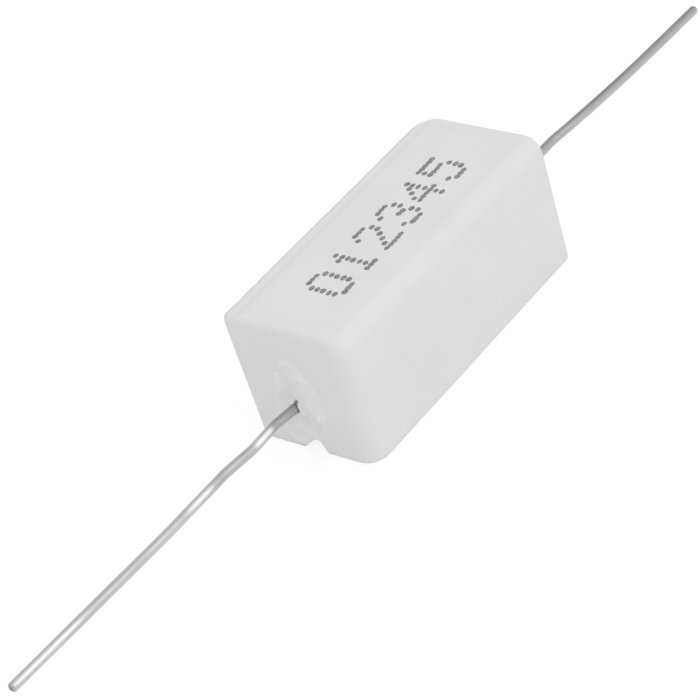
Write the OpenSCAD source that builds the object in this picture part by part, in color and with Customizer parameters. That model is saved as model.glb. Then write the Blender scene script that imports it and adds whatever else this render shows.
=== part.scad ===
// Wirewound axial resistor in a ceramic case. X runs along the leads, Z points up through the printed top.
// The origin is the middle of the underside, where the cement fill closes the open side of the case.

/* [Ceramic case] */
// Length of the case
case_l = 22.2; // [18:0.1:30]
// Width of the case across its closed top
case_w = 9.5; // [8.9:0.1:10.6]
// Height of the case
case_h = 9.85; // [8.6:0.05:12]
// How far each long side leans in from the top to the open underside
case_draft = 0.14; // [0:0.02:0.2]
// Thickness of the long walls at the open underside
side_wall = 1.2; // [0.8:0.1:1.3]
// Thickness of the end walls at the open underside
end_wall = 1.4; // [1:0.1:2]
// Thickness of the closed top
roof = 1.5; // [0.8:0.1:2.2]
// How far the walls of the trough lean in towards the closed top
trough_draft = 0.2; // [0:0.05:0.3]
// Radius inside the trough where the long walls meet the closed top
trough_r = 0.8; // [0.2:0.1:1.5]

/* [Case edges] */
// Radius of the long top edge on the left side
left_top_r = 0.35; // [0.2:0.05:0.6]
// Radius of the long top edge on the right side
right_top_r = 1.3; // [0.3:0.1:1.8]
// Radius of the top edge at the left end
near_top_r = 0.35; // [0.2:0.05:0.8]
// Radius of the top edge at the right end
far_top_r = 0.3; // [0.2:0.05:1]
// Radius of the edges round the open underside
bottom_r = 0.2; // [0.1:0.05:0.4]
// Radius of the upright edge at the left end, left side
near_left_r = 0.3; // [0.2:0.1:1.5]
// Radius of the upright edge at the left end, right side
near_right_r = 1.4; // [0.3:0.1:2]
// Radius of the upright edge at the right end, left side
far_left_r = 1.6; // [0.3:0.1:2]
// Radius of the upright edge at the right end, right side
far_right_r = 0.35; // [0.2:0.05:1.5]

/* [Sunken top panel] */
// Depth of the shallow panel pressed into the top
panel_depth = 0.06; // [0.02:0.01:0.2]
// Width of the raised rim along the left side
left_rim = 0.9; // [0.6:0.05:1.5]
// Width of the raised rim along the right side
right_rim = 1.6; // [1.5:0.05:2.5]
// Width of the raised rim across each end
end_rim = 0.7; // [0.65:0.05:1.5]
// Width of the slope from the rim down to the panel
panel_slope = 0.4; // [0.2:0.05:0.8]

/* [End slots] */
// Width of the slot that each lead leaves through
slot_w = 2; // [1.9:0.1:2.6]
// Height of the slot's arched top above the underside
slot_h = 5; // [4.6:0.1:6]
// How far the slots stand from the middle of the case
slot_offset = 0.2; // [0.1:0.05:0.3]

/* [Wound element] */
// Height of the element's axis above the underside
axis_height = 3.5; // [3.1:0.05:3.8]
// How far the element lies from the middle of the case
axis_offset = 0.69; // [0.5:0.01:0.74]
// Least cement between the element's caps and the left wall
wall_cover = 0.5; // [0.35:0.01:0.8]
// Chamfer at each end of the core
core_chamfer = 0.25; // [0.1:0.05:0.4]
// Cement between each end cap and the end wall
cap_inset = 1; // [0.8:0.1:2]
// Length of a cap's skirt over the core
cap_skirt = 2.6; // [1.5:0.1:4]
// Thickness of a cap's sheet
cap_wall = 0.3; // [0.2:0.05:0.35]
// Radius of a cap's outer corner
cap_corner_r = 0.3; // [0.1:0.05:0.5]
// Diameter of the resistance wire
wire_d = 0.2; // [0.12:0.02:0.22]
// Distance from one turn to the next
wind_pitch = 0.42; // [0.36:0.02:0.8]
// Length of the last turns that lie welded on a cap's skirt
weld_run = 0.45; // [0.3:0.05:0.8]

/* [Leads] */
// Diameter of the tinned leads
lead_d = 0.65; // [0.5:0.05:0.8]
// Diameter of the lead's welded foot on its cap
foot_d = 1.1; // [0.9:0.1:1.6]
// Length of the lead's welded foot
foot_l = 0.4; // [0.2:0.05:0.6]
// Chamfer at a lead's cut tip
tip_chamfer = 0.08; // [0.02:0.01:0.15]
// Run of the left lead from its cap to the first kink
left_exit = 1.7; // [1.4:0.1:2.4]
// Run of the left lead past its kinks
left_reach = 4.3; // [3:0.1:10]
// Run of the right lead from its cap to its kink
right_exit = 9.2; // [4:0.1:12]
// Radius of the sharp kink where the left lead comes out
sharp_r = 1.5; // [1.2:0.1:3]
// Radius of the soft kinks
kink_r = 4; // [3:0.5:6]
// Last straight stretch of the left lead
left_tail = 12.8; // [6:0.1:20]
// Last straight stretch of the right lead
right_tail = 5.5; // [3:0.5:20]

/* [Cement] */
// Thickness of the cement smeared over each end face
smear_t = 0.18; // [0.1:0.02:0.3]
// Height of the collar that climbs the lead
collar_h = 0.22; // [0.1:0.02:0.35]
// Radius of that collar at its foot
collar_r = 1.5; // [1:0.1:1.7]
// Radius of that collar at its top
collar_top_r = 0.75; // [0.6:0.05:0.95]
// Radius of the plain smear at the right end
far_smear_r = 1.9; // [1.8:0.1:2.4]
// Height of the unfilled mouth at the foot of the left slot
mouth_h = 1.05; // [0.5:0.05:1.2]
// Width of that mouth at its top
mouth_top_w = 1; // [0.6:0.1:1.2]
// Width of that mouth at the underside
mouth_foot_w = 1.8; // [1.2:0.1:1.9]
// Radius of that mouth's upper corner
mouth_r = 0.35; // [0.1:0.05:0.5]
// Depth of that mouth
mouth_depth = 1.25; // [0.4:0.05:1.6]

/* [Clearances] */
// Gap that the cured cement leaves round what it holds
cast_gap = 0.02; // [0.01:0.005:0.04]
// Gap between the core and the caps pressed on it
cap_fit = 0.01; // [0.005:0.005:0.02]
// Gap between the wire and what it is wound on
wind_gap = 0.01; // [0.005:0.005:0.03]

/* [Hidden] */
$fn = 48;
wind_steps_per_turn = 16;
wire_sides = 6;
wire_fn = 64;
bend_fn = 120;
cut = 1;

roof_z = case_h - roof;
lean = atan(case_draft / case_h);
foot_half_w = case_w / 2 - case_draft;
end_x = case_l / 2;

core_l = case_l - 2 * (end_wall + cap_inset + cap_wall);
cap_r = foot_half_w - side_wall - trough_draft - axis_offset - wall_cover;
core_r = cap_r - cap_wall - cap_fit;
cap_face_x = core_l / 2 + cap_wall;
rim_x = core_l / 2 - cap_skirt;

wire_r = wire_d / 2;
lead_r = lead_d / 2;
foot_r = foot_d / 2;

// A turn is a polygon, so its corners stand out enough for its sides to clear the core
side_reach = cos(180 / wind_steps_per_turn);
core_turn_r = (core_r + wire_r + wind_gap) / side_reach;
skirt_turn_r = (cap_r + wire_r + wind_gap) / side_reach;
wind_end_x = rim_x + weld_run;
climb_x = rim_x - wire_d;
climb_start_x = climb_x - wind_pitch;
wind_steps = round(2 * wind_end_x / wind_pitch * wind_steps_per_turn);

// Straight length, turn towards +Y in degrees and bend radius of each leg, from the welded foot outwards
left_legs = [
    [left_exit, 8.3, sharp_r], [kink_r / 2, -10.2, kink_r], [kink_r * 7 / 16, 8.7, kink_r * 3 / 4],
    [kink_r / 2, -6.9, kink_r], [left_reach, 2.1, kink_r * 15], [left_tail, 0, 0]
];
right_legs = [[right_exit, -7, kink_r], [kink_r / 4, 4.5, kink_r * 65 / 2], [right_tail, 0, 0]];
// A bend draws the wire a little thinner, and each leg laps onto it
bend_neck = 0.004;
leg_overlap = 0.03;

// Corners of the cement smeared on the left end face and their radii, measured from the lead
smear_corners = [
    [-1.9, -2.2], [-0.4, -3.9], [1.2, -3.9], [2, -1.9], [2.05, 0],
    [1.4, 2.2], [0.95, 3.7], [-1.1, 4.05], [-1.8, 2.5], [-2.3, 0.2]
];
smear_radii = [0.6, 0.5, 0.5, 0.8, 1.2, 0.8, 0.5, 0.5, 0.8, 1.5];

case_white = [0.87, 0.87, 0.86];
cement_grey = [0.82, 0.82, 0.81];
core_white = [0.9, 0.88, 0.84];
wire_grey = [0.55, 0.53, 0.5];
cap_silver = [0.78, 0.78, 0.76];
lead_silver = [0.74, 0.74, 0.73];

// Towards the neighbour of a corner, and how far along it the rounding starts
function towards(from, to) = (to - from) / norm(to - from);
function corner_angle(before, at, after) = acos(towards(at, before) * towards(at, after));
function round_start(before, at, after, r) =
    at + towards(at, before) * r / tan(corner_angle(before, at, after) / 2);
function round_centre(before, at, after, r) =
    let (middle = towards(at, before) + towards(at, after))
    at + middle / norm(middle) * r / sin(corner_angle(before, at, after) / 2);

// Flat shape with each outward corner rounded by a true arc of its own radius, 0 for a sharp one
module rounded_shape(corners, radii) {
    count = len(corners);
    function before(i) = corners[(i + count - 1) % count];
    function after(i) = corners[(i + 1) % count];
    polygon([
        for (i = [0:count - 1]) each radii[i] == 0 ? [corners[i]] : [
            round_start(before(i), corners[i], after(i), radii[i]),
            round_start(after(i), corners[i], before(i), radii[i])
        ]
    ]);
    for (i = [0:count - 1]) if (radii[i] > 0)
        translate(round_centre(before(i), corners[i], after(i), radii[i])) circle(r = radii[i]);
}

// Stands a shape drawn in Y and Z along X
module along_x(length) {
    rotate([90, 0, 90]) linear_extrude(length, center = true) children();
}

// Stands a shape drawn in X and Z along Y
module along_y(length) {
    rotate([90, 0, 0]) linear_extrude(length, center = true) children();
}

// Turns a shape made along Z onto the element's axis
module on_axis() {
    translate([0, axis_offset, axis_height]) rotate([0, 90, 0]) children();
}

// Case section across its length
module case_section() {
    rounded_shape(
        [[-foot_half_w, 0], [foot_half_w, 0], [case_w / 2, case_h], [-case_w / 2, case_h]],
        [bottom_r, bottom_r, left_top_r, right_top_r]
    );
}

// Case section along its length
module case_profile() {
    rounded_shape(
        [[-end_x, 0], [end_x, 0], [end_x, case_h], [-end_x, case_h]],
        [bottom_r, bottom_r, far_top_r, near_top_r]
    );
}

// One long side with its two upright edges, leaning with the draft
module leaning_side(near_r, far_r) {
    back_y = -2 * case_w;
    translate([0, foot_half_w, 0]) rotate([-lean, 0, 0]) translate([0, 0, -cut])
        linear_extrude(case_h + 2 * cut) rounded_shape(
            [[-end_x, back_y], [end_x, back_y], [end_x, 0], [-end_x, 0]],
            [0, 0, far_r, near_r]
        );
}

module case_outside() {
    intersection() {
        along_x(case_l) case_section();
        along_y(2 * case_w) case_profile();
        leaning_side(near_left_r, far_left_r);
        mirror([0, 1, 0]) leaning_side(near_right_r, far_right_r);
    }
}

// Inside of the trough, smaller all round by gap and starting at low_z
module trough_space(low_z, gap) {
    top_z = roof_z - gap;
    function half_at(opening, z) = opening - gap - trough_draft * z / roof_z;
    open_w = foot_half_w - side_wall;
    open_l = end_x - end_wall;
    intersection() {
        along_x(case_l) rounded_shape(
            [
                [-half_at(open_w, low_z), low_z], [half_at(open_w, low_z), low_z],
                [half_at(open_w, top_z), top_z], [-half_at(open_w, top_z), top_z]
            ],
            [0, 0, trough_r, trough_r]
        );
        along_y(case_w) polygon([
            [-half_at(open_l, low_z), low_z], [half_at(open_l, low_z), low_z],
            [half_at(open_l, top_z), top_z], [-half_at(open_l, top_z), top_z]
        ]);
    }
}

// Slot through the end wall on one side, -1 for left and 1 for right, running out to out_x
module slot_space(side, low_z, gap, out_x) {
    in_x = end_x - end_wall - cut;
    half_w = slot_w / 2 - gap;
    arch_z = slot_h - slot_w / 2;
    translate([side * (in_x + out_x) / 2, slot_offset, 0]) along_x(out_x - in_x) {
        translate([-half_w, low_z]) square([2 * half_w, arch_z - low_z]);
        translate([0, arch_z]) circle(r = half_w);
    }
}

// Shallow panel in the top, with a sloping edge all round
module panel_space() {
    floor_z = case_h - panel_depth;
    widen = panel_slope * (cut + panel_depth) / panel_depth;
    top_z = case_h + cut;
    left_y = case_w / 2 - left_rim - panel_slope;
    right_y = -case_w / 2 + right_rim + panel_slope;
    half_l = end_x - end_rim - panel_slope;
    intersection() {
        along_x(case_l + 2 * widen) polygon([
            [right_y, floor_z], [left_y, floor_z], [left_y + widen, top_z], [right_y - widen, top_z]
        ]);
        along_y(case_w + 2 * widen) polygon([
            [-half_l, floor_z], [half_l, floor_z], [half_l + widen, top_z], [-half_l - widen, top_z]
        ]);
    }
}

module ceramic_case() {
    color(case_white) difference() {
        case_outside();
        trough_space(-cut, 0);
        for (side = [-1, 1]) slot_space(side, -cut, 0, end_x + cut);
        panel_space();
    }
}

// Round wire from the origin along X, bent leg by leg, each leg running a little way into its bends
module bent_wire(legs, r, at = 0) {
    run = legs[at][0];
    turn = legs[at][1];
    bend_r = legs[at][2];
    hand = sign(turn);
    back = at > 0 ? leg_overlap : 0;
    on = turn != 0 ? leg_overlap : 0;
    translate([-back, 0, 0]) rotate([0, 90, 0]) cylinder(r = r, h = run + back + on, $fn = wire_fn);
    translate([run, 0, 0]) {
        if (turn != 0) translate([0, hand * bend_r, 0])
            rotate([0, 0, turn > 0 ? -90 : 90 + turn])
                rotate_extrude(angle = abs(turn), $fn = bend_fn * sqrt(bend_r))
                    translate([bend_r, 0]) circle(r = r - bend_neck, $fn = wire_fn);
        if (at < len(legs) - 1) translate([0, hand * bend_r, 0]) rotate([0, 0, turn])
            translate([0, -hand * bend_r, 0]) bent_wire(legs, r, at + 1);
        else rotate([0, 90, 0]) cylinder(r1 = r, r2 = r - tip_chamfer, h = tip_chamfer, $fn = wire_fn);
    }
}

module lead(legs) {
    translate([cap_face_x, axis_offset, axis_height]) {
        rotate([0, 90, 0]) cylinder(r1 = foot_r, r2 = lead_r, h = foot_l);
        bent_wire(legs, lead_r);
    }
}

module left_lead() {
    color(lead_silver) mirror([1, 0, 0]) lead(left_legs);
}

module right_lead() {
    color(lead_silver) lead(right_legs);
}

module core_rod() {
    half_l = core_l / 2;
    color(core_white) on_axis() rotate_extrude() polygon([
        [0, -half_l], [core_r - core_chamfer, -half_l], [core_r, -half_l + core_chamfer],
        [core_r, half_l - core_chamfer], [core_r - core_chamfer, half_l], [0, half_l]
    ]);
}

// Drawn cup pressed over one end of the core
module end_cap() {
    color(cap_silver) on_axis() rotate_extrude() difference() {
        rounded_shape(
            [[0, rim_x], [cap_r, rim_x], [cap_r, cap_face_x], [0, cap_face_x]],
            [0, 0, cap_corner_r, 0]
        );
        translate([-cut, rim_x - cut]) square([core_r + cap_fit + cut, core_l / 2 - rim_x + cut]);
    }
}

module left_end_cap() {
    mirror([1, 0, 0]) end_cap();
}

module right_end_cap() {
    end_cap();
}

// Distance of the wire's middle from the axis: low on the core, high on the caps
function turn_r(x) =
    abs(x) < climb_start_x ? core_turn_r :
    abs(x) > climb_x ? skirt_turn_r :
    core_turn_r + (skirt_turn_r - core_turn_r) * (abs(x) - climb_start_x) / (climb_x - climb_start_x);

function wire_ring(step) =
    let (
        angle = 360 * step / wind_steps_per_turn,
        x = (step - wind_steps / 2) * wind_pitch / wind_steps_per_turn
    )
    [for (k = [0:wire_sides - 1])
        let (
            a = 360 * k / wire_sides,
            r = turn_r(x) + wire_r * cos(a)
        )
        [r * cos(angle), r * sin(angle), x + wire_r * sin(a)]
    ];

module resistance_wire() {
    points = [for (step = [0:wind_steps]) each wire_ring(step)];
    sides = [
        for (step = [0:wind_steps - 1], k = [0:wire_sides - 1])
            let (
                a = step * wire_sides + k,
                b = step * wire_sides + (k + 1) % wire_sides
            )
            each [[a, a + wire_sides, b + wire_sides], [a, b + wire_sides, b]]
    ];
    first = [for (k = [0:wire_sides - 1]) k];
    last = [for (k = [wire_sides - 1:-1:0]) wind_steps * wire_sides + k];
    color(wire_grey) on_axis() polyhedron(points, concat(sides, [first, last]));
}

// Room that the wound element takes out of the cement, its steps following wire, skirts and caps
module element_space() {
    wound_r = core_turn_r + wire_r + cast_gap;
    weld_r = skirt_turn_r + wire_r + cast_gap;
    held_r = cap_r + cast_gap;
    weld_end_x = wind_end_x + wire_r + cast_gap;
    face_x = cap_face_x + cast_gap;
    foot_end_x = cap_face_x + foot_l + cast_gap;
    right_half = [
        [wound_r, climb_start_x - wire_r], [weld_r, climb_x - wire_r], [weld_r, weld_end_x],
        [held_r, weld_end_x], [held_r, face_x], [foot_r + cast_gap, face_x],
        [foot_r + cast_gap, foot_end_x], [0, foot_end_x]
    ];
    left_half = [for (i = [len(right_half) - 1:-1:0]) [right_half[i][0], -right_half[i][1]]];
    on_axis() rotate_extrude() polygon(concat(left_half, right_half));
}

// Passage that a lead takes through the cement
module lead_space(legs) {
    translate([cap_face_x, axis_offset, axis_height]) bent_wire(legs, lead_r + cast_gap);
}

// Thin smear on an end face, drawn in Y and Z about the lead, with a collar that climbs the lead
module smear(side) {
    translate([side * end_x, axis_offset, axis_height]) {
        translate([side * smear_t / 2, 0, 0]) along_x(smear_t) children();
        translate([side * smear_t, 0, 0]) rotate([0, side * 90, 0])
            cylinder(r1 = collar_r, r2 = collar_top_r, h = collar_h);
    }
}

// Mouth of the left slot that the cement didn't reach, open to the slot's right wall
module mouth_space() {
    wall_y = slot_offset - slot_w / 2;
    below_w = mouth_foot_w + cut * (mouth_foot_w - mouth_top_w) / mouth_h;
    in_x = end_x - mouth_depth;
    out_x = end_x + smear_t + collar_h + cut;
    translate([-(in_x + out_x) / 2, wall_y, 0]) along_x(out_x - in_x) rounded_shape(
        [[-cut, -cut], [below_w, -cut], [mouth_top_w, mouth_h], [-cut, mouth_h]],
        [0, 0, mouth_r, 0]
    );
}

// All that lies below the underside
module below_underside() {
    translate([0, 0, -case_h / 2]) cube([2 * case_l, 2 * case_w, case_h], center = true);
}

module cement_fill() {
    color(cement_grey) difference() {
        union() {
            trough_space(0, cast_gap);
            for (side = [-1, 1]) slot_space(side, 0, cast_gap, end_x);
            smear(-1) rounded_shape(smear_corners, smear_radii);
            smear(1) circle(r = far_smear_r);
        }
        element_space();
        lead_space(right_legs);
        mirror([1, 0, 0]) lead_space(left_legs);
        mouth_space();
        below_underside();
    }
}

ceramic_case();
cement_fill();
core_rod();
resistance_wire();
left_end_cap();
right_end_cap();
left_lead();
right_lead();
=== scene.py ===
import math
import random

import bmesh
import bpy
import numpy as np
from mathutils import Matrix, Vector


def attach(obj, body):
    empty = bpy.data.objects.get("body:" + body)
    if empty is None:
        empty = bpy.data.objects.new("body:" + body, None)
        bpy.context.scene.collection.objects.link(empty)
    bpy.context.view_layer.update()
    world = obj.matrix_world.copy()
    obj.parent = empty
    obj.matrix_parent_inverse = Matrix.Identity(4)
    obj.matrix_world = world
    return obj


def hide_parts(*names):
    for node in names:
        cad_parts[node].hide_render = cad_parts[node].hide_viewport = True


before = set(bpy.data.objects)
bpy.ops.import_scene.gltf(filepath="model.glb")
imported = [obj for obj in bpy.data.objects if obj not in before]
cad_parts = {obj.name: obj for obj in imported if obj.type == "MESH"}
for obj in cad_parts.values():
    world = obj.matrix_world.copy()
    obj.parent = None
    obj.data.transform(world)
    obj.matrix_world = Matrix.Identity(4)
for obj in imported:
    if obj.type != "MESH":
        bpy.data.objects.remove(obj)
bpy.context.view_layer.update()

mm = 0.001  # the tables below are in millimetres, and the scene is in metres


def clearSelection():
    if bpy.context.object and bpy.context.object.mode != "OBJECT":
        bpy.ops.object.mode_set(mode="OBJECT")
    bpy.ops.object.select_all(action="DESELECT")


def activate(piece):
    clearSelection()
    piece.select_set(True)
    bpy.context.view_layer.objects.active = piece


def settle(name):
    # puts a new primitive's place into its mesh
    piece = bpy.context.object
    bpy.ops.object.transform_apply(location=True, rotation=True, scale=True)
    piece.name = name
    piece.data.name = name
    return piece


def addBlock(name, low, high):
    clearSelection()
    middle = [(a + b) / 2 * mm for a, b in zip(low, high)]
    size = [(b - a) * mm for a, b in zip(low, high)]
    bpy.ops.mesh.primitive_cube_add(size=1, location=middle, scale=size)
    return settle(name)


def addPebble(name, middle, size, turn=(0, 0, 0)):
    clearSelection()
    bpy.ops.mesh.primitive_ico_sphere_add(
        subdivisions=4, radius=0.5, location=[a * mm for a in middle],
        scale=[a * mm for a in size], rotation=[math.radians(a) for a in turn])
    return settle(name)


def addBarrel(name, middle, length, radius):
    # a cylinder along X
    clearSelection()
    bpy.ops.mesh.primitive_cylinder_add(
        vertices=48, radius=radius * mm, depth=length * mm, rotation=(0, math.pi / 2, 0),
        location=[a * mm for a in middle])
    return settle(name)


def modify(piece, kind, **settings):
    activate(piece)
    modifier = piece.modifiers.new(kind.title(), kind)
    for key, value in settings.items():
        setattr(modifier, key, value)
    bpy.ops.object.modifier_apply(modifier=modifier.name)


def combine(piece, other, operation="DIFFERENCE"):
    modify(piece, "BOOLEAN", object=other, operation=operation, solver="EXACT")
    bpy.data.objects.remove(other)


def join(pieces, name):
    clearSelection()
    for piece in pieces:
        piece.select_set(True)
    bpy.context.view_layer.objects.active = pieces[0]
    bpy.ops.object.join()
    pieces[0].name = name
    pieces[0].data.name = name
    return pieces[0]


def editAll(piece):
    # opens the piece in edit mode with all of it selected
    activate(piece)
    bpy.ops.object.mode_set(mode="EDIT")
    bpy.ops.mesh.select_all(action="SELECT")


def editTop(piece):
    # opens the piece in edit mode with the faces selected that face up
    activate(piece)
    bpy.ops.object.mode_set(mode="EDIT")
    bpy.ops.mesh.select_mode(type="FACE")
    bpy.ops.mesh.select_all(action="DESELECT")
    shape = bmesh.from_edit_mesh(piece.data)
    for face in shape.faces:
        face.select_set(face.normal.z > 0.9)
    bmesh.update_edit_mesh(piece.data)


def roundEdges(piece, radiusOf, segments):
    spots = [vertex.co / mm for vertex in piece.data.vertices]
    radii = [radiusOf((spots[edge.vertices[0]] + spots[edge.vertices[1]]) / 2) for edge in piece.data.edges]
    weights = piece.data.attributes.new("bevel_weight_edge", "FLOAT", "EDGE")
    for entry, radius in zip(weights.data, radii):
        entry.value = radius / max(radii)
    modify(piece, "BEVEL", width=max(radii) * mm, segments=segments, limit_method="WEIGHT",
           use_clamp_overlap=False)


def ripple(piece, name, size, height, depth=1):
    texture = bpy.data.textures.new(name, "CLOUDS")
    texture.noise_scale = size * mm
    texture.noise_depth = depth
    modify(piece, "DISPLACE", texture=texture, strength=height * mm, mid_level=0.5, texture_coords="LOCAL")


def soften(piece, voxel, rounds):
    modify(piece, "REMESH", mode="VOXEL", voxel_size=voxel * mm)
    modify(piece, "SMOOTH", factor=0.5, iterations=rounds)


def readPlaces(piece):
    flat = np.empty(len(piece.data.vertices) * 3)
    piece.data.vertices.foreach_get("co", flat)
    return flat.reshape(-1, 3) / mm


def readNormals(piece):
    flat = np.empty(len(piece.data.vertices) * 3)
    piece.data.vertex_normals.foreach_get("vector", flat)
    return flat.reshape(-1, 3)


def writePlaces(piece, places):
    piece.data.vertices.foreach_set("co", (places * mm).ravel())
    piece.data.update()


def brush(places, path, reach):
    # 1 along the path, falling to 0 at that reach from it
    nearest = np.full(len(places), np.inf)
    for start, end in zip(path, path[1:]):
        run = np.subtract(end, start)
        share = np.clip((places - start) @ run / (run @ run), 0, 1)
        nearest = np.minimum(nearest, np.linalg.norm(places - start - share[:, None] * run, axis=1))
    return np.clip(1 - (nearest / reach) ** 2, 0, 1) ** 2


def sculpt(piece, direction, strokes):
    # raises or lowers what faces that way, along strokes of path, reach and height
    places = readPlaces(piece)
    lift = sum(height * brush(places, path, reach) for path, reach, height in strokes)
    lift = lift * np.clip(readNormals(piece) @ direction, 0, 1)
    writePlaces(piece, places + np.outer(lift, direction))


def press(piece, strokes):
    # pushes the surface in along its own normals
    places = readPlaces(piece)
    depth = sum(height * brush(places, path, reach) for path, reach, height in strokes)
    writePlaces(piece, places - readNormals(piece) * depth[:, None])


def storeShadeAndHighlight(piece, strokes):
    # stores how much painted shade each corner has, and below 0 how much painted highlight
    places = readPlaces(piece)
    paintedShade = sum(strength * brush(places, path, reach) for path, reach, strength in strokes)
    stored = piece.data.attributes.new("paintedShade", "FLOAT", "POINT")
    stored.data.foreach_set("value", np.clip(paintedShade, -1, 1))


def endStrokes(x, rows):
    return [([(x, y, z) for y, z in path], reach, height) for path, reach, height in rows]


def topStrokes(z, rows):
    return [([(x, y, z) for x, y in path], reach, height) for path, reach, height in rows]


def smoothShade(piece, angle=35):
    activate(piece)
    bpy.ops.object.shade_smooth_by_angle(angle=math.radians(angle))


def finishPiece(piece, material, slotName, *nodes):
    piece.data.materials.clear()
    piece.data.materials.append(material)
    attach(piece, "root")
    if nodes:
        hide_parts(*nodes)
    print(piece.name, "faces", len(piece.data.polygons))


# Materials

def newFinish(name, roughness, metallic=0.0):
    finish = bpy.data.materials.new(name)
    finish.use_nodes = True
    shader = finish.node_tree.nodes["Principled BSDF"]
    shader.inputs["Roughness"].default_value = roughness
    shader.inputs["Metallic"].default_value = metallic
    return finish


def addNode(finish, kind, **settings):
    node = finish.node_tree.nodes.new(kind)
    for key, value in settings.items():
        if key in node.inputs:
            node.inputs[key].default_value = value
        else:
            setattr(node, key, value)
    return node


def link(finish, start, end):
    finish.node_tree.links.new(start, end)


def placeOn(finish, stretch=(1, 1, 1), stored=None):
    # the piece's own coordinates, or stored ones, stretched
    if stored:
        start = addNode(finish, "ShaderNodeAttribute", attribute_name=stored).outputs["Vector"]
    else:
        start = addNode(finish, "ShaderNodeTexCoord").outputs["Object"]
    mapping = addNode(finish, "ShaderNodeMapping")
    mapping.inputs["Scale"].default_value = stretch
    link(finish, start, mapping.inputs["Vector"])
    return mapping.outputs["Vector"]


def grain(finish, place, size, detail, rough):
    # noise with lumps of about that size
    node = addNode(finish, "ShaderNodeTexNoise", Scale=1 / (size * mm), Detail=detail, Roughness=rough)
    link(finish, place, node.inputs["Vector"])
    return node.outputs["Fac"]


# painted shade: darker specks for pinholes that the mesh doesn't have
def paintedPitShade(finish, place, size, low, high):
    node = addNode(finish, "ShaderNodeTexVoronoi", Scale=1 / (size * mm))
    link(finish, place, node.inputs["Vector"])
    return spread(finish, node.outputs["Distance"], low, high, 1.0, 0.0)


def spread(finish, value, low, high, toLow=0.0, toHigh=1.0):
    node = addNode(finish, "ShaderNodeMapRange")
    for name, number in (("From Min", low), ("From Max", high), ("To Min", toLow), ("To Max", toHigh)):
        node.inputs[name].default_value = number
    link(finish, value, node.inputs["Value"])
    return node.outputs["Result"]


def blendColours(finish, factor, first, second):
    node = addNode(finish, "ShaderNodeMix", data_type="RGBA")
    link(finish, factor, node.inputs["Factor"])
    for socket, colour in ((node.inputs[6], first), (node.inputs[7], second)):
        if isinstance(colour, float):
            socket.default_value = (colour, colour, colour, 1)
        else:
            link(finish, colour, socket)
    return node.outputs[2]


def addPaintedShade(finish, colour, paintedShade):
    # the colour with the piece's stored painted shade over it
    value = addNode(finish, "ShaderNodeAttribute", attribute_name="paintedShade").outputs["Fac"]
    return blendColours(finish, spread(finish, value, 0, 1), colour, paintedShade)


def addPaintedHighlight(finish, colour, highlight, across, middle, full, reach):
    # the colour with the piece's stored painted highlights over it, in a band along the wire
    value = addNode(finish, "ShaderNodeAttribute", attribute_name="paintedShade").outputs["Fac"]
    away = addNode(finish, "ShaderNodeMath", operation="SUBTRACT")
    away.inputs[1].default_value = middle
    link(finish, across, away.inputs[0])
    size = addNode(finish, "ShaderNodeMath", operation="ABSOLUTE")
    link(finish, away.outputs[0], size.inputs[0])
    share = addNode(finish, "ShaderNodeMath", operation="MULTIPLY")
    link(finish, spread(finish, size.outputs[0], full, reach, 1.0, 0.0), share.inputs[0])
    link(finish, spread(finish, value, -1, 0, 1.0, 0.0), share.inputs[1])
    return blendColours(finish, share.outputs[0], colour, highlight)


def relief(finish, value, height, under=None):
    node = addNode(finish, "ShaderNodeBump")
    node.inputs["Distance"].default_value = height * mm
    link(finish, value, node.inputs["Height"])
    if under:
        link(finish, under, node.inputs["Normal"])
    return node.outputs["Normal"]


def toShader(finish, **inputs):
    shader = finish.node_tree.nodes["Principled BSDF"]
    for name, socket in inputs.items():
        link(finish, socket, shader.inputs[name.replace("_", " ")])


# Greys are linear, and every material here is a neutral grey. A noise is its size, detail and roughness. A
# range is what the noise runs from and to, and in some what that becomes
# The hole grey is painted shade in pinholes, and the darkest grey is the painted shade that a piece stores
ceramicLook = {
    "body": 0.753, "cloudy": 0.733, "hole": 0.62, "paintedShade": 0.42, "roughness": 0.62,
    "clouds": (3.0, 3.0, 0.5), "cloud range": (0.35, 0.7), "cloud height": 0.02,
    "grain": (0.16, 4.0, 0.6), "grain height": 0.008, "rough range": (0.3, 0.7, 0.5, 0.7),
    "hole spacing": 2.4, "hole edge": (0.012, 0.03),
}
cementLook = {
    "body": 0.797, "cloudy": 0.752, "hole": 0.7, "paintedShade": 0.1, "roughness": 0.8,
    "clouds": (1.1, 5.0, 0.6), "cloud range": (0.35, 0.68), "cloud height": 0.02,
    "grain": (0.12, 5.0, 0.7), "grain height": 0.02, "rough range": (0.2, 0.8, 0.72, 0.95),
    "hole spacing": 0.7, "hole edge": (0.04, 0.1),
}


def makeMineralFinish(name, look):
    # ceramic or cement: a clouded body with the painted shade of pinholes and the stored painted shade, and a
    # fine grain
    finish = newFinish(name, look["roughness"])
    place = placeOn(finish)
    cloud = spread(finish, grain(finish, place, *look["clouds"]), *look["cloud range"])
    fine = grain(finish, place, *look["grain"])
    body = blendColours(finish, cloud, look["body"], look["cloudy"])
    pitShade = paintedPitShade(finish, place, look["hole spacing"], *look["hole edge"])
    colour = addPaintedShade(finish, blendColours(finish, pitShade, body, look["hole"]), look["paintedShade"])
    rough = spread(finish, fine, *look["rough range"])
    normal = relief(finish, fine, look["grain height"], relief(finish, cloud, look["cloud height"]))
    toShader(finish, Base_Color=colour, Roughness=rough, Normal=normal)
    return finish
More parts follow.
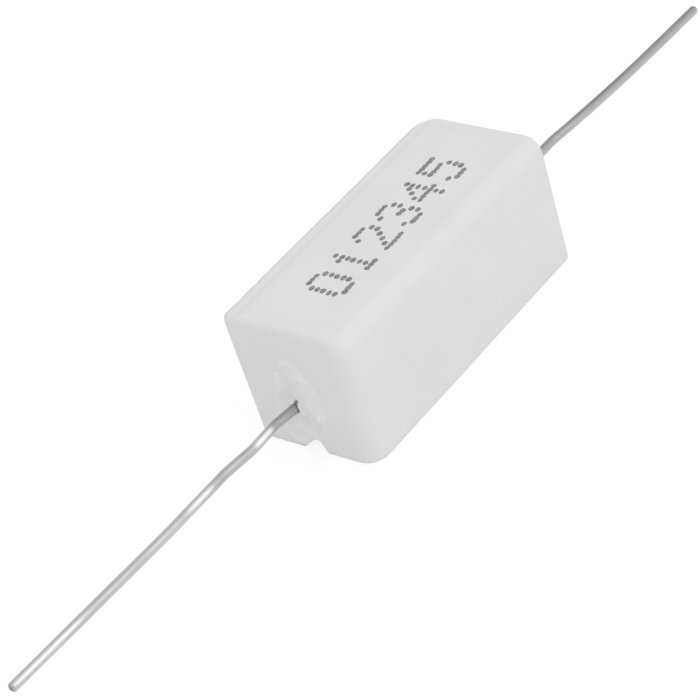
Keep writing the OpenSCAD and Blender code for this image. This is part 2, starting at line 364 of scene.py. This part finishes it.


# Painted shade and reflection round each wire: greys from the side that faces down and right (0) to the one
# that faces up and left (1)
tinLook = {
    "left painted shading": [(0.0, 0.62), (0.17, 0.58), (0.28, 0.6), (0.45, 0.49), (0.62, 0.56), (0.78, 0.45),
                   (1.0, 0.5)],
    "right painted shading": [(0.0, 0.53), (0.2, 0.51), (0.28, 0.49), (0.45, 0.36), (0.65, 0.315), (0.8, 0.235),
                    (0.95, 0.215)],
    # the dull grey is the tin's own, and the darkest grey is the stored painted shade
    "upper side": (0, 0.69, 0.72), "dull": 0.42, "paintedShade": 0.16, "roughness": 0.36,
    # the painted highlight's grey, and where it lies across the wire
    "highlight": 1.0, "highlight band": (0.5, 0.108, 0.36),  # its middle, and where it starts and ends to fade
    "streaks": (0.07, 3.0, 0.6), "streak stretch": (0.03, 1, 1), "streak dulls": (0.5, 0.8, 0.0, 0.6),
    "patches": (2.2, 3.0, 0.5), "patch stretch": (0.35, 1, 1), "patch dulls": (0.45, 0.75, 0.0, 0.5),
    "streak height": 0.008, "rough range": (0.3, 0.7, 0.26, 0.46),
}


def makeTinFinish(name, shadingGreys, thickness):
    # drawn and tinned wire: greys of painted shade and reflection round it, streaks along it and duller
    # patches, with the stored painted shade and painted highlights over them
    look = tinLook
    finish = newFinish(name, look["roughness"], metallic=1.0)
    streak = grain(finish, placeOn(finish, look["streak stretch"], "straightPlace"), *look["streaks"])
    patch = grain(finish, placeOn(finish, look["patch stretch"], "straightPlace"), *look["patches"])
    side = addNode(finish, "ShaderNodeVectorMath", operation="DOT_PRODUCT")
    link(finish, placeOn(finish, stored="straightPlace"), side.inputs[0])
    side.inputs[1].default_value = look["upper side"]
    ramp = addNode(finish, "ShaderNodeValToRGB")
    marks = ramp.color_ramp.elements
    while len(marks) < len(shadingGreys):
        marks.new(0.5)
    for mark, (position, grey) in zip(marks, shadingGreys):
        mark.position = position
        mark.color = (grey, grey, grey, 1)
    across = spread(finish, side.outputs["Value"], -thickness / 2 * mm, thickness / 2 * mm)
    link(finish, across, ramp.inputs["Fac"])
    colour = ramp.outputs["Color"]
    for noise, dulls in ((patch, look["patch dulls"]), (streak, look["streak dulls"])):
        colour = blendColours(finish, spread(finish, noise, *dulls), colour, look["dull"])
    colour = addPaintedShade(finish, colour, look["paintedShade"])
    colour = addPaintedHighlight(finish, colour, look["highlight"], across, *look["highlight band"])
    rough = spread(finish, streak, *look["rough range"])
    toShader(finish, Base_Color=colour, Roughness=rough, Normal=relief(finish, streak, look["streak height"]))
    return finish


# Ceramic case. The near end is the one at -X, and the right side the one at -Y

caseShape = {
    "length": 22.2, "top width": 9.5, "foot width": 9.22, "height": 9.85, "voxel": 0.11, "seed": 7,
    "foot": 0.2, "near": 0.45, "far": 0.3, "left": 0.35, "right": 1.3,  # roundings of the foot and top edges
    "uprights": {(-1, -1): 1.4, (-1, 1): 0.36, (1, -1): 0.36, (1, 1): 1.6},
    "near sag": 0.3, "sag from": 7.2,
    "panel depth": 0.07, "panel slope": 0.4,
    "panel corners": {(-1, -1): (-10.7, -3.4), (-1, 1): (-10.7, 3.74),
                      (1, -1): (9.86, -3.5), (1, 1): (10.16, 3.98)},
    "trough": {"low": (-9.7, -3.41), "high": (9.7, 3.41), "roof": 8.35, "lean": 0.2, "corner": 0.8},
    "slot": {"middle": 0.2, "width": 2.0, "top": 5.0},
    "foot chip": ((-11.1, 1.2, 0), (1.4, 0.6, 0.3)),
    # ripples are size, height and depth of the noise
    "mould sag": (5, 0.04), "press marks": (1.5, 0.008, 2),
    # strokes are path, reach and height, or for the painted shade path, reach and strength
    "creases": [([(-10.6, 3.74), (10.16, 3.98)], 0.35, -0.03), ([(10.14, 3.6), (9.87, -3.3)], 0.3, -0.006)],
    # painted shade along the creases by the panel and along the left top edge, which turns away from the
    # light
    "paintedShade": [([(-10.6, 3.74), (10.16, 3.98)], 0.32, 0.12), ([(10.14, 3.6), (9.87, -3.3)], 0.3, 0.02),
             ([(-10.9, 4.7), (10.9, 4.7)], 0.45, 0.5)],
    # scattered strokes are count, the two ranges of place, and the ranges of reach and height
    "dents": (22, (-10.4, 10), (-3.2, 3.6), (0.2, 0.5), (-0.02, -0.008)),
    "lips": (9, (-10.95, -10.75), (-3.0, 3.9), (0.15, 0.3), (0.02, 0.05)),
    "near edge nicks": (16, (-11.05, -10.9), (-3.2, 4.3), (0.15, 0.3), (0.03, 0.08)),
    "left edge nicks": (18, (-10.5, 8.5), (4.68, 4.72), (0.15, 0.3), (0.02, 0.06)),
    "stroke": 0.3,
}


def sideOf(value):
    return 1 if value > 0 else -1


def inset(past, radius):
    # how far a rounded edge has drawn a wall in, that far past where the rounding starts
    past = min(max(past, 0), radius)
    return radius - math.sqrt(radius ** 2 - past ** 2)


def pressedPlace(spot):
    # from the plain prism to the pressed block: sloping walls, and rounded top and foot edges
    shape = caseShape
    x, y, z = spot
    foot = inset(shape["foot"] - z, shape["foot"])
    near, far, left, right = (foot + inset(z - shape["height"] + shape[side], shape[side])
                              for side in ("near", "far", "left", "right"))
    sagged = max(0, (z - shape["sag from"]) / (shape["height"] - shape["sag from"]))
    near += shape["near sag"] * sagged ** 2 * (1 - (2 * y / shape["top width"]) ** 4)
    widening = (shape["top width"] - shape["foot width"]) * (1 - z / shape["height"]) / 2
    half = shape["length"] / 2, shape["top width"] / 2
    left, right = left + widening, right + widening
    return (x + near * (half[0] - x) / (2 * half[0]) - far * (half[0] + x) / (2 * half[0]),
            y + right * (half[1] - y) / (2 * half[1]) - left * (half[1] + y) / (2 * half[1]), z)


def makeBlock():
    shape = caseShape
    half = shape["length"] / 2, shape["top width"] / 2
    levels = [shape["foot"] * share for share in (0.1, 0.3, 0.6, 1)]
    arc = [math.sin(math.radians(90 * i / 10)) for i in range(11)]
    levels += [shape["height"] - shape["right"] * (1 - rise) for rise in arc]
    block = addBlock("ceramicCase", (-half[0], -half[1], 0), (half[0], half[1], levels[0]))

    def uprightRadius(spot):
        if abs(spot.z - levels[0] / 2) > 0.001:
            return 0
        return shape["uprights"][sideOf(spot.x), sideOf(spot.y)]

    roundEdges(block, uprightRadius, segments=12)
    editTop(block)
    for low, high in zip(levels, levels[1:]):
        bpy.ops.mesh.extrude_region_move(TRANSFORM_OT_translate={"value": (0, 0, (high - low) * mm)})
    bpy.ops.object.mode_set(mode="OBJECT")
    writePlaces(block, np.array([pressedPlace(place) for place in readPlaces(block)]))
    return block


def makePanelCutter():
    shape = caseShape
    floor, rise = shape["height"] - shape["panel depth"], 0.4
    cutter = addBlock("panelCutter", (-1, -1, floor), (1, 1, floor + rise))
    wider = shape["panel slope"] * rise / shape["panel depth"]
    places = readPlaces(cutter)
    for place in places:
        sides = sideOf(place[0]), sideOf(place[1])
        out = wider if place[2] > floor + rise / 2 else 0
        place[:2] = [corner + side * out for corner, side in zip(shape["panel corners"][sides], sides)]
    writePlaces(cutter, places)
    return cutter


def roofRadius(radius):
    # that radius for the edges that run along X above the foot, and none for the rest
    return lambda spot: radius if spot.z > 1 and abs(spot.x) < 1 else 0


def makeTroughCutter(shrink=0.0, foot=-1.0):
    trough = caseShape["trough"]
    low, high = trough["low"], trough["high"]
    cutter = addBlock("troughCutter", (low[0] + shrink, low[1] + shrink, foot),
                      (high[0] - shrink, high[1] - shrink, trough["roof"] - shrink))
    editTop(cutter)
    grow = [1 - 2 * trough["lean"] / (b - a) for a, b in zip(low, high)]
    bpy.ops.transform.resize(value=(grow[0], grow[1], 1))
    bpy.ops.object.mode_set(mode="OBJECT")
    roundEdges(cutter, roofRadius(trough["corner"]), segments=8)
    return cutter


def makeSlotCutter(shrink=0.0, foot=-1.0, reach=12.0):
    slot = caseShape["slot"]
    half = slot["width"] / 2 - shrink
    cutter = addBlock("slotCutter", (-reach, slot["middle"] - half, foot),
                      (reach, slot["middle"] + half, slot["top"] - shrink))
    roundEdges(cutter, roofRadius(half * 0.999), segments=16)  # just under half, so that the two don't meet
    return cutter


def scatter(rolls, z, count, xRange, yRange, reach, height):
    # short strokes at random places on the top or its edges
    stroke = caseShape["stroke"]
    rows = []
    for _ in range(count):
        x, y = rolls.uniform(*xRange), rolls.uniform(*yRange)
        end = x + rolls.uniform(-stroke, stroke), y + rolls.uniform(-stroke, stroke), z
        rows.append(([(x, y, z), end], rolls.uniform(*reach), rolls.uniform(*height)))
    return rows


def makeCase():
    shape, top = caseShape, caseShape["height"]
    case = makeBlock()
    combine(case, makePanelCutter())
    soften(case, shape["voxel"], rounds=3)
    ripple(case, "mouldSag", *shape["mould sag"])
    ripple(case, "pressMarks", *shape["press marks"])
    rolls = random.Random(shape["seed"])
    dents, lips, nearNicks, leftNicks = [
        scatter(rolls, top, *shape[name]) for name in ("dents", "lips", "near edge nicks", "left edge nicks")]
    sculpt(case, (0, 0, 1), topStrokes(top, shape["creases"]) + dents + lips)
    press(case, nearNicks + leftNicks)
    combine(case, makeTroughCutter())
    combine(case, makeSlotCutter())
    combine(case, addPebble("footChip", *shape["foot chip"]))
    # painted shade in the creases along the panel and on the left top edge
    storeShadeAndHighlight(case, topStrokes(top - shape["panel depth"], shape["paintedShade"]))
    smoothShade(case)
    return case


print("stage: case")
ceramicCase = makeCase()
finishPiece(ceramicCase, makeMineralFinish("pressedCeramic", ceramicLook), "case_ceramic", "ceramic_case")


# Leads

leadShape = {
    "start": (8.7, 0.69), "height": 3.5, "radius": 0.325, "passage": 0.345, "step": 0.12,
    # legs are a straight run, then a bend in degrees and its radius
    "left legs": [(1.7, 8.3, 1.5), (2, -10.2, 4), (1.75, 8.7, 3), (2, -6.9, 4), (4.3, 2.1, 60),
                  (12.88, 0, 0)],
    "right legs": [(9.2, -7, 4), (1, 4.5, 130), (5.58, 0, 0)],
    "tip length": 0.22, "tip steps": 8, "tip end": 0.3, "draw marks": (0.9, 0.012),
    # shade and highlights are a stretch along X, reach and strength: above 0 painted shade, below 0 a painted
    # highlight where the tin is bright, and the last left one makes the tip darker
    "left shade and highlights": [((-11.1, -12.6), 0.8, 0.28), ((-13.8, -14.75), 0.75, -1.6), ((-15.7, -16.1), 0.7, 0.2),
                    ((-16.5, -18.3), 1.0, 0.1), ((-19.9, -20.9), 1.2, -0.65), ((-32.5, -36.0), 2.4, -0.38),
                    ((-37.25, -37.36), 0.5, 0.95)],
    "right shade": [((11.1, 11.5), 0.8, 0.5)],
}


def walkLegs(legs):
    # straight and bent legs as (distance, x, y, heading)
    x, y = leadShape["start"]
    heading = gone = 0.0
    track = [(gone, x, y, heading)]
    for run, turn, radius in legs:
        for length, bend in ((run, 0.0), (abs(math.radians(turn)) * radius, math.radians(turn))):
            count = math.ceil(length / leadShape["step"])
            for _ in range(count):
                heading += bend / count / 2
                x += length / count * math.cos(heading)
                y += length / count * math.sin(heading)
                heading += bend / count / 2
                gone += length / count
                track.append((gone, x, y, heading))
    return track


def roundTip(track):
    # closes the last stretch up with ever shorter steps
    full, x, y, heading = track[-1]
    tip, steps = leadShape["tip length"], leadShape["tip steps"]
    track = [spot for spot in track if spot[0] < full - tip]
    for i in range(steps + 1):
        left = tip * (1 - i / steps) ** 1.5
        track.append((full - left, x - left * math.cos(heading), y - left * math.sin(heading), heading))
    return track


def tipThickness(left):
    # how much of the full thickness is there, that far from the tip
    share = min(1.0, left / leadShape["tip length"])
    return max(leadShape["tip end"], math.sqrt(1 - (1 - share) ** 2))


def makeWire(name, track, side, radius, tapered=True):
    clearSelection()
    bpy.ops.curve.primitive_nurbs_path_add()
    path = bpy.context.object
    curve = path.data
    curve.splines.clear()
    line = curve.splines.new("POLY")
    line.points.add(len(track) - 1)
    for point, (gone, x, y, _) in zip(line.points, track):
        point.co = (side * x * mm, y * mm, leadShape["height"] * mm, 1)
        point.radius = tipThickness(track[-1][0] - gone) if tapered else 1
    curve.dimensions = "3D"
    curve.bevel_depth = radius * mm
    curve.bevel_resolution = 8
    curve.use_fill_caps = True
    activate(path)
    bpy.ops.object.convert(target="MESH")
    piece = settle(name)
    editAll(piece)
    bpy.ops.mesh.remove_doubles(threshold=0.002 * mm)
    bpy.ops.mesh.select_all(action="SELECT")
    bpy.ops.mesh.normals_make_consistent(inside=False)
    bpy.ops.object.mode_set(mode="OBJECT")
    return piece


def ahead(spot, x, y):
    return (x - spot[1]) * math.cos(spot[3]) + (y - spot[2]) * math.sin(spot[3])


def storeStraightPlace(piece, track, side):
    # where each corner would be if the wire were straight, for streaks that follow its bends
    stored = piece.data.attributes.new("straightPlace", "FLOAT_VECTOR", "POINT")
    last = 0
    for vertex, entry in sorted(zip(piece.data.vertices, stored.data), key=lambda pair: side * pair[0].co.x):
        x, y = side * vertex.co.x / mm, vertex.co.y / mm
        while last < len(track) - 1 and ahead(track[last + 1], x, y) > 0:
            last += 1
        gone, midX, midY, heading = track[last]
        off = -(x - midX) * math.sin(heading) + (y - midY) * math.cos(heading)
        entry.vector = ((gone + ahead(track[last], x, y)) * mm, off * mm,
                        vertex.co.z - leadShape["height"] * mm)


def middleAt(track, x):
    # the wire's middle there, seen from above
    return min(track, key=lambda spot: abs(spot[1] - abs(x)))[2]


def makeLead(name, legs, shadeAndHighlights, side):
    shape = leadShape
    track = roundTip(walkLegs(legs))
    piece = makeWire(name, track, side, shape["radius"])
    storeStraightPlace(piece, track, side)
    ripple(piece, name + "Draw", *shape["draw marks"])
    rows = []
    # painted shade and painted highlights along the wire, and a darker tip
    for span, reach, strength in shadeAndHighlights:
        rows.append(([(x, middleAt(track, x), shape["height"]) for x in span], reach, strength))
    storeShadeAndHighlight(piece, rows)
    smoothShade(piece, angle=60)
    return piece


print("stage: leads")
thickness = 2 * leadShape["radius"]
# the leads have a lit and a shaded copy of one tin finish, painted light that makes the right one darker
leftLead = makeLead("leftLead", leadShape["left legs"], leadShape["left shade and highlights"], -1)
leftLitTin = makeTinFinish("tinnedWireLeftLit", tinLook["left painted shading"], thickness)
finishPiece(leftLead, leftLitTin, "tinned_wire", "left_lead")
rightLead = makeLead("rightLead", leadShape["right legs"], leadShape["right shade"], 1)
rightShadedTin = makeTinFinish("tinnedWireRightShaded", tinLook["right painted shading"], thickness)
finishPiece(rightLead, rightShadedTin, "tinned_wire", "right_lead")


# Cement

cementShape = {
    "gap": 0.02, "seam": 0.004, "foot": 0.05, "near face": -11.1,
    "proud": 0.03, "sunk": 0.16, "edge": 0.04, "rim": 0.26, "rim sink": 0.06, "rim back": 0.02, "voxel": 0.06,
    "outline": [
        (-0.1, 7.68), (0.8, 7.48), (1.45, 7.0), (1.78, 6.3), (1.93, 5.6), (2.08, 4.8), (2.48, 3.9),
        (2.62, 3.0), (2.55, 1.8), (2.38, 0.8), (1.75, 0.27), (0.6, 0.2), (-0.7, 0.1), (-1.12, 0.2),
        (-1.1, 1.0), (-1.02, 1.74), (-1.46, 2.39), (-1.72, 3.3), (-1.6, 4.1), (-1.5, 5.2), (-1.28, 5.95),
        (-0.85, 6.5), (-0.55, 6.9), (-0.55, 7.4),
    ],
    # places and sizes of the round lumps
    "near collar": ((-11.1, 0.75, 3.3), (0.4, 1.5, 1.5)),
    "far dab": ((11.1, 0.69, 3.5), (0.34, 3.8, 4.0)), "far collar": ((11.18, 0.69, 3.5), (0.5, 1.7, 1.6)),
    # ripples are size, height and depth of the noise, and strokes are path, reach and height, or for the
    # painted shade path, reach and strength
    "trowel marks": (0.6, 0.045, 2), "dab marks": (0.8, 0.05, 2), "broken edge": (0.35, 0.2, 2),
    "relief": [
        ([(1.15, 6.85), (0.6, 7.1), (-0.1, 7.2)], 0.5, 0.1),
        ([(-0.15, 7.0), (0.05, 6.4)], 0.3, 0.06),
        ([(1.62, 6.28), (1.1, 6.4)], 0.2, -0.05),
        ([(1.5, 5.85), (1.6, 5.0), (1.95, 4.2)], 0.3, 0.1),
        ([(1.25, 5.9), (1.2, 5.0), (1.5, 4.2)], 0.14, -0.03),
        ([(0.85, 5.9), (0.7, 5.2), (0.95, 4.5)], 0.7, -0.035),
        ([(-0.6, 6.0), (-0.65, 5.2), (-0.6, 4.0), (-0.95, 3.1)], 0.8, 0.12),
        ([(-1.05, 3.1), (-1.1, 2.3)], 0.5, 0.07),
        ([(0.49, 3.11), (-0.43, 2.08)], 0.3, -0.09),
        ([(1.13, 2.45), (0.98, 0.7)], 0.16, 0.07),
        ([(1.8, 1.8), (1.58, 1.1)], 0.35, -0.03),
        ([(2.1, 3.5), (1.7, 3.2)], 0.3, 0.05),
        ([(1.7, 0.55), (0.7, 0.6)], 0.45, 0.12),
    ],
    # painted shade in the grooves, in the hole round the lead and under the bulge by the mouth
    "paintedShade": [
        ([(0.95, 6.2), (0.75, 5.3), (1.1, 4.5)], 0.6, 0.07),
        ([(1.7, 2.3), (1.7, 1.2)], 0.5, 0.04),
        ([(0.48, 4.16), (0.64, 3.8), (0.5, 3.45)], 0.19, 0.95),
        ([(0.36, 3.45), (0.3, 3.3)], 0.16, 0.8),
        ([(0.49, 3.0), (-0.43, 2.02)], 0.2, 0.12),
        ([(1.62, 6.28), (1.15, 6.4)], 0.14, 0.15),
        ([(0.3, 0.85), (0.1, 0.95)], 0.2, 0.5),
    ],
    "exit hole": ((-11.2, 0.58, 3.7), (0.7, 0.36, 0.88), (-20, 0, 0)),
    # levels of the mouth at the foot are height, right wall and left wall
    "mouth": [(0.0, -0.85, 1.85), (0.22, -0.74, 1.35), (0.32, -0.7, 1.05), (0.46, -0.64, 0.82),
              (1.1, -0.42, 0.08)],
    "mouth depth": 1.25, "mouth rounding": 0.2,
    # length and radius of the room for the winding, the caps and the leads' feet
    "element": [(12.8, 2.30), (17.44, 2.04), (18.24, 0.57)],
}


def makeSlab(name):
    # the smear's flat outline with rounded edges, stood up against the near end
    shape = cementShape
    outline, edge, proud, sunk = shape["outline"], shape["edge"], shape["proud"], shape["sunk"]
    clearSelection()
    bpy.ops.curve.primitive_bezier_circle_add()
    drawn = bpy.context.object
    curve = drawn.data
    curve.splines.clear()
    line = curve.splines.new("BEZIER")
    line.bezier_points.add(len(outline) - 1)
    line.use_cyclic_u = True
    for point, (y, z) in zip(line.bezier_points, outline):
        point.co = (y * mm, z * mm, 0)
        point.handle_left_type = point.handle_right_type = "AUTO"
    curve.dimensions = "2D"
    curve.fill_mode = "BOTH"
    curve.extrude = ((proud + sunk) / 2 - edge) * mm
    curve.bevel_depth = edge * mm
    curve.offset = -edge * mm
    curve.bevel_resolution = 3
    activate(drawn)
    bpy.ops.object.convert(target="MESH")
    slab = settle(name)
    middle = shape["near face"] + (sunk - proud) / 2
    slab.data.transform(Matrix(((0, 0, 1, middle * mm), (1, 0, 0, 0), (0, 1, 0, 0), (0, 0, 0, 1))))
    return slab


def thinRim(smear):
    # lets the smear's front run out to nothing at its outline, and leaves the back that the wall hides
    shape = cementShape
    places = readPlaces(smear)
    rim = [(0, y, z) for y, z in shape["outline"] + shape["outline"][:1]]
    share = brush(places * (0, 1, 1), rim, shape["rim"])
    height = shape["near face"] - places[:, 0]
    thinned = height * (1 - share) - shape["rim sink"] * share
    places[:, 0] = shape["near face"] - np.where(height > -shape["rim back"], thinned, height)
    writePlaces(smear, places)


def makeNearSmear():
    shape = cementShape
    smear = join([makeSlab("nearSmear"), addPebble("nearCollar", *shape["near collar"])], "nearSmear")
    soften(smear, shape["voxel"], rounds=7)
    sculpt(smear, (-1, 0, 0), endStrokes(shape["near face"] - shape["proud"], shape["relief"]))
    ripple(smear, "trowelMarks", *shape["trowel marks"])
    thinRim(smear)
    return smear


def makeFarSmear():
    shape = cementShape
    smear = join([addPebble("farSmear", *shape["far dab"]), addPebble("farCollar", *shape["far collar"])],
                 "farSmear")
    soften(smear, shape["voxel"], rounds=4)
    ripple(smear, "dabMarks", *shape["dab marks"])
    return smear


def makeMouthCutter():
    # a block whose two walls follow the mouth's levels
    shape, mouth, face = cementShape, cementShape["mouth"], cementShape["near face"]
    cutter = addBlock("mouthCutter", (face - 1, -1, -1), (face + shape["mouth depth"], 1, mouth[0][0]))
    editTop(cutter)
    for low, high in zip(mouth, mouth[1:]):
        bpy.ops.mesh.extrude_region_move(TRANSFORM_OT_translate={"value": (0, 0, (high[0] - low[0]) * mm)})
    bpy.ops.object.mode_set(mode="OBJECT")
    levels, right, left = zip(*mouth)
    places = readPlaces(cutter)
    for place in places:
        place[1] = np.interp(place[2], levels, right if place[1] < 0 else left)
    writePlaces(cutter, places)

    def topRadius(spot):
        return shape["mouth rounding"] if spot.z > levels[-1] - 0.01 and abs(spot.x - face) < 0.5 else 0

    roundEdges(cutter, topRadius, segments=8)
    return cutter


def makeCement():
    shape, face, lead = cementShape, cementShape["near face"], leadShape
    fill = makeTroughCutter(shape["gap"], shape["foot"])
    fill.name = "cementFill"
    editAll(fill)
    bpy.ops.mesh.subdivide(number_cuts=3)
    bpy.ops.object.mode_set(mode="OBJECT")
    combine(fill, makeSlotCutter(shape["seam"], shape["foot"], -face), "UNION")
    combine(fill, makeNearSmear(), "UNION")
    combine(fill, makeFarSmear(), "UNION")
    middle = (0, lead["start"][1], lead["height"])
    for length, radius in shape["element"]:
        combine(fill, addBarrel("elementRoom", middle, length, radius))
    for side, legs in ((-1, lead["left legs"]), (1, lead["right legs"])):
        combine(fill, makeWire("passage", walkLegs(legs), side, lead["passage"], tapered=False))
    hole = addPebble("exitHole", *shape["exit hole"])
    ripple(hole, "brokenEdge", *shape["broken edge"])
    combine(fill, hole)
    combine(fill, makeMouthCutter())
    # painted shade in the grooves and round the lead's exit
    storeShadeAndHighlight(fill, endStrokes(face - shape["proud"], shape["paintedShade"]))
    smoothShade(fill, angle=30)
    return fill


print("stage: cement")
cementFill = makeCement()
finishPiece(cementFill, makeMineralFinish("castCement", cementLook), "cement", "cement_fill")


# Print: plain digits in a matrix of five by seven dots

printShape = {
    "first": (-7.06, 1.3), "character": 2.46, "column": 0.375, "row": 0.47,  # start and steps of the matrix
    "dot": (0.45, 0.36), "dot sides": 14, "dot scale": (0.9, 1.15), "stray": 0.03, "seed": 3,
    "above": 0.012, "thick": 0.01,
}
inkLook = {
    "body": 0.2, "thin": 0.3, "roughness": 0.7,
    "patches": (0.25, 3.0, 0.5), "patch range": (0.4, 0.65), "patch height": 0.004,
}
digitRows = [
    " ### |#   #|#   #|#   #|#   #|#   #| ### ",
    "  #  | ##  |  #  |  #  |  #  |  #  | ### ",
    " ### |#   #|    #|   # |  #  | #   |#####",
    " ### |#   #|    #|  ## |    #|#   #| ### ",
    "   # |  ## | # # |#  # |#####|   # |   # ",
    "#####|#    |#### |    #|    #|#   #| ### ",
]


def makeInkFinish():
    look = inkLook
    finish = newFinish("markingInk", look["roughness"])
    patch = grain(finish, placeOn(finish), *look["patches"])
    colour = blendColours(finish, spread(finish, patch, *look["patch range"]), look["body"], look["thin"])
    toShader(finish, Base_Color=colour, Normal=relief(finish, patch, look["patch height"]))
    return finish


def copyDot(model, rolls, x, y):
    shape = printShape
    dot = model.copy()
    dot.data = model.data.copy()
    bpy.context.scene.collection.objects.link(dot)
    size = [a * rolls.uniform(*shape["dot scale"]) for a in shape["dot"]]
    spot = [a + rolls.uniform(-shape["stray"], shape["stray"]) for a in (x, y)]
    dot.data.transform(Matrix.Translation((spot[0] * mm, spot[1] * mm, caseShape["height"] * mm)) @
                       Matrix.Diagonal((size[0], size[1], 1, 1)))
    return dot


def makePrint(ground):
    shape, rolls = printShape, random.Random(printShape["seed"])
    clearSelection()
    bpy.ops.mesh.primitive_circle_add(vertices=shape["dot sides"], radius=0.5 * mm, fill_type="NGON")
    model = settle("dot")
    dots = []
    for place, rows in enumerate(digitRows):
        for row, line in enumerate(rows.split("|")):
            for column, mark in enumerate(line):
                if mark == "#":
                    x = shape["first"][0] + place * shape["character"] + column * shape["column"]
                    y = shape["first"][1] - row * shape["row"]
                    dots.append(copyDot(model, rolls, x + shape["dot"][0] / 2, y - shape["dot"][1] / 2))
    bpy.data.objects.remove(model)
    marking = join(dots, "printedDigits")
    modify(marking, "SHRINKWRAP", target=ground, wrap_method="PROJECT", use_project_z=True,
           use_negative_direction=True, use_positive_direction=True, offset=shape["above"] * mm)
    modify(marking, "SOLIDIFY", thickness=shape["thick"] * mm, offset=-1)
    smoothShade(marking, angle=30)
    return marking


print("stage: print")
printedDigits = makePrint(ceramicCase)
finishPiece(printedDigits, makeInkFinish(), "case_ceramic")


# Pieces that the cement hides keep their CAD shape

plainLook = {"noise": (4.0, 0.6), "range": (0.35, 0.65), "height": 0.008}


def makePlainFinish(name, light, dark, size, roughness, metallic=0.0, stretch=(1, 1, 1)):
    look = plainLook
    finish = newFinish(name, roughness, metallic)
    value = grain(finish, placeOn(finish, stretch), size, *look["noise"])
    colour = blendColours(finish, spread(finish, value, *look["range"]), light, dark)
    toShader(finish, Base_Color=colour, Normal=relief(finish, value, look["height"]))
    return finish


print("stage: hidden pieces")
coreFinish = makePlainFinish("coreCeramic", light=0.78, dark=0.70, size=0.3, roughness=0.75)
wireFinish = makePlainFinish("resistanceAlloy", light=0.4, dark=0.28, size=0.1, roughness=0.4, metallic=1.0)
capFinish = makePlainFinish("platedCap", light=0.62, dark=0.5, size=0.2, roughness=0.35, metallic=1.0,
                            stretch=(0.1, 1, 1))
hiddenLooks = {
    "core_rod": coreFinish, "resistance_wire": wireFinish,
    "left_end_cap": capFinish, "right_end_cap": capFinish,
}
for nodeName, finish in hiddenLooks.items():
    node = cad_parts[nodeName]
    node.data.materials.clear()
    node.data.materials.append(finish)


# Camera, floor and light

cameraPlace = {
    "lens": 137.4, "sensor": 36, "clip": (0.01, 10), "place": (-96.56, -100.665, 103.214),
    "right": (0.5813, -0.7729, -0.2543), "ahead": (0.5401, 0.6003, -0.5898),
    "nudge": 0.15 / 2672,  # a part of a pixel, over the lens's length in pixels
}
lightPlan = {
    "sky": 0.88, "key": 0.139, "key from": (0.1, -0.75, 0.65), "key spread": 50,
    "floor": 0.9, "floor size": 1.2, "floor height": -0.00002, "floor glow": 0.8, "glow strength": 1.06,
}


def makeCamera():
    data = bpy.data.cameras.new("photoCamera")
    camera = bpy.data.objects.new("photoCamera", data)
    bpy.context.scene.collection.objects.link(camera)
    bpy.context.scene.camera = camera
    data.lens = cameraPlace["lens"]
    data.sensor_width = cameraPlace["sensor"]
    data.clip_start, data.clip_end = cameraPlace["clip"]
    ahead = Vector(cameraPlace["ahead"]).normalized()
    right = Vector(cameraPlace["right"])
    right = (right - ahead * right.dot(ahead)).normalized()
    up = right.cross(ahead)
    ahead = (ahead + (up - right) * cameraPlace["nudge"]).normalized()
    right = (right - ahead * right.dot(ahead)).normalized()
    turn = Matrix((right, right.cross(ahead), -ahead)).transposed().to_4x4()
    camera.matrix_world = Matrix.Translation(Vector(cameraPlace["place"]) * mm) @ turn


def seenBy(finish, *rays):
    # 1 for these kinds of ray, and 0 for the others
    path = addNode(finish, "ShaderNodeLightPath")
    seen = path.outputs[f"Is {rays[0]} Ray"]
    for ray in rays[1:]:
        either = addNode(finish, "ShaderNodeMath", operation="MAXIMUM")
        link(finish, seen, either.inputs[0])
        link(finish, path.outputs[f"Is {ray} Ray"], either.inputs[1])
        seen = either.outputs[0]
    return seen


def makeFloor():
    # pale paper that the camera sees as white, save for the object's shadow
    plan = lightPlan
    clearSelection()
    bpy.ops.mesh.primitive_plane_add(size=plan["floor size"], location=(0, 0, plan["floor height"]))
    floor = settle("paleFloor")
    finish = newFinish("palePaper", roughness=0.9)
    tree = finish.node_tree
    shader = tree.nodes["Principled BSDF"]
    shader.inputs["Base Color"].default_value = (plan["floor"],) * 3 + (1,)
    shader.inputs["Specular IOR Level"].default_value = 0.0
    share = addNode(finish, "ShaderNodeMath", operation="MULTIPLY")
    share.inputs[1].default_value = plan["floor glow"]
    link(finish, seenBy(finish, "Camera", "Glossy"), share.inputs[0])
    glow = addNode(finish, "ShaderNodeEmission", Strength=plan["glow strength"])
    mix = addNode(finish, "ShaderNodeMixShader")
    link(finish, share.outputs[0], mix.inputs[0])
    link(finish, shader.outputs[0], mix.inputs[1])
    link(finish, glow.outputs[0], mix.inputs[2])
    link(finish, mix.outputs[0], tree.nodes["Material Output"].inputs["Surface"])
    floor.data.materials.append(finish)


def makeLight():
    world = bpy.data.worlds.new("whiteRoom")
    bpy.context.scene.world = world
    world.use_nodes = True
    strength = spread(world, seenBy(world, "Camera", "Glossy", "Transmission"), 0, 1, lightPlan["sky"], 1.0)
    back = world.node_tree.nodes["Background"]
    back.inputs["Color"].default_value = (1, 1, 1, 1)
    link(world, strength, back.inputs["Strength"])
    lamp = bpy.data.lights.new("softKey", "SUN")
    lamp.energy = lightPlan["key"] * math.pi
    lamp.angle = math.radians(lightPlan["key spread"])
    key = bpy.data.objects.new("softKey", lamp)
    bpy.context.scene.collection.objects.link(key)
    key.rotation_mode = "QUATERNION"
    key.rotation_quaternion = Vector(lightPlan["key from"]).to_track_quat("Z", "Y")


print("stage: camera, floor and light")
makeCamera()
makeFloor()
makeLight()
bpy.context.scene.view_settings.view_transform = "Standard"
